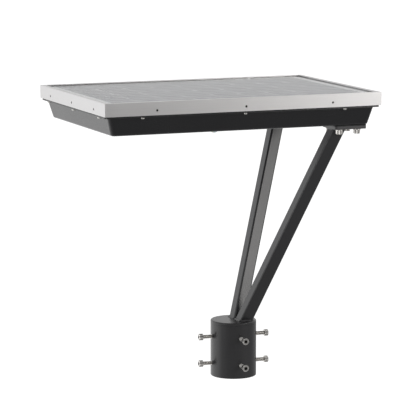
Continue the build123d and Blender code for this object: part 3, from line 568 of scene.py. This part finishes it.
def select_faces(piece, wanted):
    """Selects a piece's faces by a test on each face and goes to edit mode."""
    only(piece)
    bpy.ops.object.mode_set(mode="EDIT")
    bpy.ops.mesh.select_mode(type="FACE")
    bpy.ops.mesh.select_all(action="DESELECT")
    bpy.ops.object.mode_set(mode="OBJECT")
    for face in piece.data.polygons:
        face.select = wanted(face)
    bpy.ops.object.mode_set(mode="EDIT")


def push_out(distance, shrink):
    """Extrudes the selected end face along Z and shrinks it."""
    bpy.ops.mesh.extrude_region_move(TRANSFORM_OT_translate={"value": (0, 0, distance)})
    bpy.ops.transform.resize(value=(shrink, shrink, 1))


def socket_screw(name, shank_len):
    """A socket-head screw along +Z with its head below z = 0."""
    bpy.ops.object.select_all(action="DESELECT")
    straight = head_len - head_chamfer
    bpy.ops.mesh.primitive_cylinder_add(
        vertices=2 * knurl_ridges, radius=head_r, depth=straight, location=(0, 0, -straight / 2)
    )
    head = bpy.context.object
    head.name = name
    bpy.ops.object.transform_apply(location=True)
    for vertex in head.data.vertices:
        turn = round(degrees(atan2(vertex.co.y, vertex.co.x)) * knurl_ridges / 180)
        if turn % 2:
            vertex.co.x *= 1 - knurl_depth / head_r
            vertex.co.y *= 1 - knurl_depth / head_r
    select_faces(head, lambda face: face.normal.z < -0.9)
    push_out(-head_chamfer, 1 - head_chamfer / head_r)
    bpy.ops.object.mode_set(mode="OBJECT")

    bpy.ops.object.select_all(action="DESELECT")
    bpy.ops.mesh.primitive_cylinder_add(
        vertices=6, radius=key_flats / sqrt(3), depth=2 * key_depth, location=(0, 0, -head_len)
    )
    key = bpy.context.object
    socket = head.modifiers.new("socket", "BOOLEAN")
    socket.operation = "DIFFERENCE"
    socket.object = key
    apply_modifiers(head)
    bpy.data.objects.remove(key)
    head.data.materials.append(stainless.material)
    head.data.materials.append(socket_shade_finish.material)
    # Faces inside the hexagonal socket take the painted-shade material.
    for face in head.data.polygons:
        near_axis = hypot(face.center.x, face.center.y) < key_flats / 2 + touch
        sunk = -head_len + touch < face.center.z < -head_len + key_depth + touch
        face.material_index = int(near_axis and sunk)

    profile = (
        (thread_r - thread_depth, 0.0), (thread_r, 0.38), (thread_r, 0.52),
        (thread_r - thread_depth, 0.90), (thread_r - thread_depth, 1.0),
    )
    bpy.ops.object.select_all(action="DESELECT")
    bpy.ops.mesh.primitive_circle_add(vertices=len(profile), fill_type="NOTHING")
    shank = bpy.context.object
    for vertex, (radius, share) in zip(shank.data.vertices, profile):
        vertex.co = (radius, 0, (share - thread_start) * thread_pitch)
    last = len(profile) - 1
    bpy.ops.object.mode_set(mode="EDIT")
    bpy.ops.mesh.select_mode(type="EDGE")
    bpy.ops.mesh.select_all(action="DESELECT")
    bpy.ops.object.mode_set(mode="OBJECT")
    for edge in shank.data.edges:
        edge.select = set(edge.vertices) == {0, last}
    bpy.ops.object.mode_set(mode="EDIT")
    bpy.ops.mesh.delete(type="EDGE")
    bpy.ops.object.mode_set(mode="OBJECT")
    thread = shank.modifiers.new("thread", "SCREW")
    thread.axis = "Z"
    thread.screw_offset = thread_pitch
    thread.iterations = int(shank_len / thread_pitch) + 4
    thread.steps = thread_steps
    thread.render_steps = thread_steps
    apply_modifiers(shank)
    bpy.ops.object.mode_set(mode="EDIT")
    bpy.ops.mesh.select_all(action="SELECT")
    bpy.ops.mesh.remove_doubles(threshold=1e-6)
    for cut, facing in ((-shank_in_head, -1), (shank_len - point_len, 1)):
        bpy.ops.mesh.select_all(action="SELECT")
        bpy.ops.mesh.bisect(plane_co=(0, 0, cut), plane_no=(0, 0, facing), use_fill=True, clear_outer=True)
    bpy.ops.mesh.select_all(action="SELECT")
    bpy.ops.mesh.dissolve_degenerate(threshold=1e-6)
    bpy.ops.mesh.normals_make_consistent(inside=False)
    bpy.ops.object.mode_set(mode="OBJECT")
    tip = shank_len - point_len - 1e-6
    select_faces(shank, lambda face: face.center.z > tip and face.normal.z > 0.9)
    push_out(point_len, 1 - point_len / thread_r)
    bpy.ops.object.mode_set(mode="OBJECT")

    shank.data.materials.append(stainless.material)
    only(head)
    shank.select_set(True)
    bpy.ops.object.join()
    bpy.ops.object.shade_smooth_by_angle(angle=radians(28))
    return head


def screw_copy(master, name, matrix):
    """A copy of a screw with its own mesh, put in its place."""
    copy = bpy.data.objects.new(name, master.data.copy())
    bpy.context.collection.objects.link(copy)
    copy.matrix_world = matrix
    only(copy)
    bpy.ops.object.transform_apply(location=True, rotation=True, scale=True)
    return copy


sleeve_turn = radians(3)
clamp_shank_len = 0.025
clamp_tip_r = 0.0392
clamp_master = socket_screw("clamp_screw_master", clamp_shank_len)
for number in range(1, 9):
    node = "clamp_screw_%d" % number
    low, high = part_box(node)
    angle = radians(90) * ((number - 1) % 4 - 1) - sleeve_turn
    outward = Vector((cos(angle), sin(angle), 0))
    seat = outward * (clamp_tip_r + clamp_shank_len) + Vector((0, 0, (low.z + high.z) / 2))
    matrix = Matrix.Translation(seat) @ (-outward).to_track_quat("Z", "Y").to_matrix().to_4x4()
    screw = screw_copy(clamp_master, "pole_screw_%d" % number, matrix)
    settle(screw, node, stainless.material, body=node, inner=socket_shade_finish.material)
bpy.data.objects.remove(clamp_master)

inner_bolt_y = 0.116
bolt_low, bolt_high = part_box("foot_bolts")
bolt_x = (bolt_low.x + head_r, bolt_high.x - head_r)
bolt_y = (inner_bolt_y, bolt_high.y - head_r)
bolt_master = socket_screw("foot_bolt_master", bolt_high.z - bolt_low.z - head_len)
bolts = []
for x in bolt_x:
    for y in bolt_y:
        for side in (-1, 1):
            matrix = Matrix.Translation((x, side * y, bolt_low.z + head_len))
            bolts.append(screw_copy(bolt_master, "foot_bolt_%d" % (len(bolts) + 1), matrix))
bpy.data.objects.remove(bolt_master)
only(bolts[0])
for bolt in bolts:
    bolt.select_set(True)
bpy.ops.object.join()
foot_screws = bpy.context.object
foot_screws.name = "foot_screws"
settle(foot_screws, "foot_bolts", stainless.material, inner=socket_shade_finish.material)
paint(stainless.material, "foot_washers", "foot_nuts", "flange_screws", "inner_screws", "board_standoffs")

zinc = Finish("zinc_plated_steel", Metallic=1.0)
spangle = zinc.node("ShaderNodeTexVoronoi", inputs={"Vector": zinc.place(), "Scale": 130.0})
zinc.feed("Base Color", zinc.blend(spangle, (0.50, 0.51, 0.53, 1), (0.66, 0.67, 0.68, 1)))
zinc.feed("Roughness", zinc.span(spangle, 0.0, 0.8, 0.34, 0.50))
paint(zinc.material, "stiffener_plate", "battery_straps")

# ---------------------------------------------------------------------------------------- lamp
# A cast aluminium bezel, powder coated like the tray, holds a clear lens plate against a silicone ring.
# Behind it the diodes sit on a white board, backed by an aluminium heat spreader.

settle(eased_copy("led_bezel", "lamp_bezel", 0.0004), "led_bezel", tray_coat)
paint(rubber.material, "lens_gasket")
paint(mill.material, "heat_spreader")
paint(stainless.material, "bezel_screws")

clear = Finish("clear_polycarbonate", Transmission_Weight=1.0, IOR=1.58, Base_Color=(0.96, 0.97, 0.98, 1))
clear.feed("Roughness", clear.span(clear.noise(20.0, 4.0), 0.3, 0.7, 0.02, 0.07))
paint(clear.material, "lens_plate")

board_trace = 0.12


def board(name, mask, trace, part, parts_above=None):
    """Circuit board with traces under its solder mask; what stands above the board is the part colour."""
    finish = Finish(name, Roughness=0.35)
    inputs = {"Vector": finish.place(), "Scale": 90.0}
    second = finish.node("ShaderNodeTexVoronoi", {"distance": "MANHATTAN", "feature": "F2"}, inputs)
    nearest = finish.node("ShaderNodeTexVoronoi", {"distance": "MANHATTAN", "feature": "F1"}, inputs)
    traces = (second - nearest) < board_trace
    colour = finish.blend(traces, mask, trace)
    if parts_above is not None:
        above = finish.axis("Z") > parts_above
        colour = finish.blend(above, colour, finish.blend(finish.noise(70.0), part, (0.05, 0.05, 0.055, 1)))
    finish.feed("Base Color", colour)
    finish.relief(traces + finish.noise(800.0) * 0.2, 0.00003)
    return finish.material


paint(board("white_board", (0.78, 0.78, 0.76, 1), (0.66, 0.67, 0.66, 1), (0.6, 0.6, 0.6, 1)), "led_board")

phosphor = Finish("diode_phosphor", Roughness=0.45)
grains = phosphor.noise(2600.0, 2.0)
phosphor.feed("Base Color", phosphor.blend(grains, (0.80, 0.62, 0.10, 1), (0.90, 0.78, 0.26, 1)))
phosphor.relief(grains, 0.00003)
paint(phosphor.material, "led_chips")

# ---------------------------------------------------------------------------------------- motion sensor
# Black moulded base with a milky polyethylene dome, faceted inside like every passive infrared lens.

settle(eased_copy("sensor_base", "sensor_housing", 0.0004), "sensor_base", black_plastic)

milky = Finish("milky_polyethylene", Roughness=0.35, Subsurface_Weight=0.4, Subsurface_Scale=0.003)
facet = milky.node(
    "ShaderNodeTexVoronoi", {"feature": "DISTANCE_TO_EDGE"}, {"Vector": milky.place(), "Scale": 330.0}
)
milky.feed("Base Color", milky.blend(milky.noise(40.0), (0.78, 0.79, 0.79, 1), (0.86, 0.87, 0.87, 1)))
milky.relief(milky.span(facet, 0.0, 0.12, 0.0, 1.0), 0.0002)
paint(milky.material, "sensor_dome")

green_mask = (0.010, 0.085, 0.030, 1)
green_trace = (0.022, 0.140, 0.052, 1)
paint(board("sensor_circuit", green_mask, green_trace, (0.02, 0.02, 0.02, 1)), "sensor_board")

# ------------------------------------------------------------------------------------ switch, vent, light
# Fittings screwed into the tray's floor: a push button in a black bushing, with a spring under it,
# a breather vent that lets the tray equalise, and a small charge light.

settle(eased_copy("switch_bushing", "button_bushing", 0.0003), "switch_bushing", black_plastic)
settle(eased_copy("breather_vent", "vent_cap", 0.0003), "breather_vent", black_plastic)
paint(black_plastic, "switch_contact", "switch_nut")
spring = merged_copy("switch_spring", "button_spring")
settle(spring, "switch_spring", stainless.material)
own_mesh(spring)
paint(clear.material, "indicator_lens")
button_plastic = moulded("button_plastic", (0.045, 0.046, 0.048, 1), (0.065, 0.066, 0.068, 1), 0.34)
paint(button_plastic, "switch_button")

# ------------------------------------------------------------------------------------ battery and controller
# Eight shrink-sleeved lithium iron phosphate cells in a moulded case under two zinc-plated straps,
# wired to a green charge controller on steel pillars.

paint(black_plastic, "battery_case")
shrink = moulded("cell_shrink_sleeve", (0.020, 0.075, 0.190, 1), (0.030, 0.100, 0.240, 1), 0.28, 500.0)
paint(shrink, "battery_cells")
sheath = moulded("lead_sheath", (0.055, 0.010, 0.009, 1), (0.085, 0.014, 0.012, 1), 0.40, 900.0)
paint(sheath, "lead_wires")
board_thick = 0.0016
copper_rise = 0.0002
parts_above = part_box("controller_board")[0].z + board_thick + copper_rise
controller = board("controller_circuit", green_mask, green_trace, (0.016, 0.016, 0.018, 1), parts_above)
paint(controller, "controller_board")
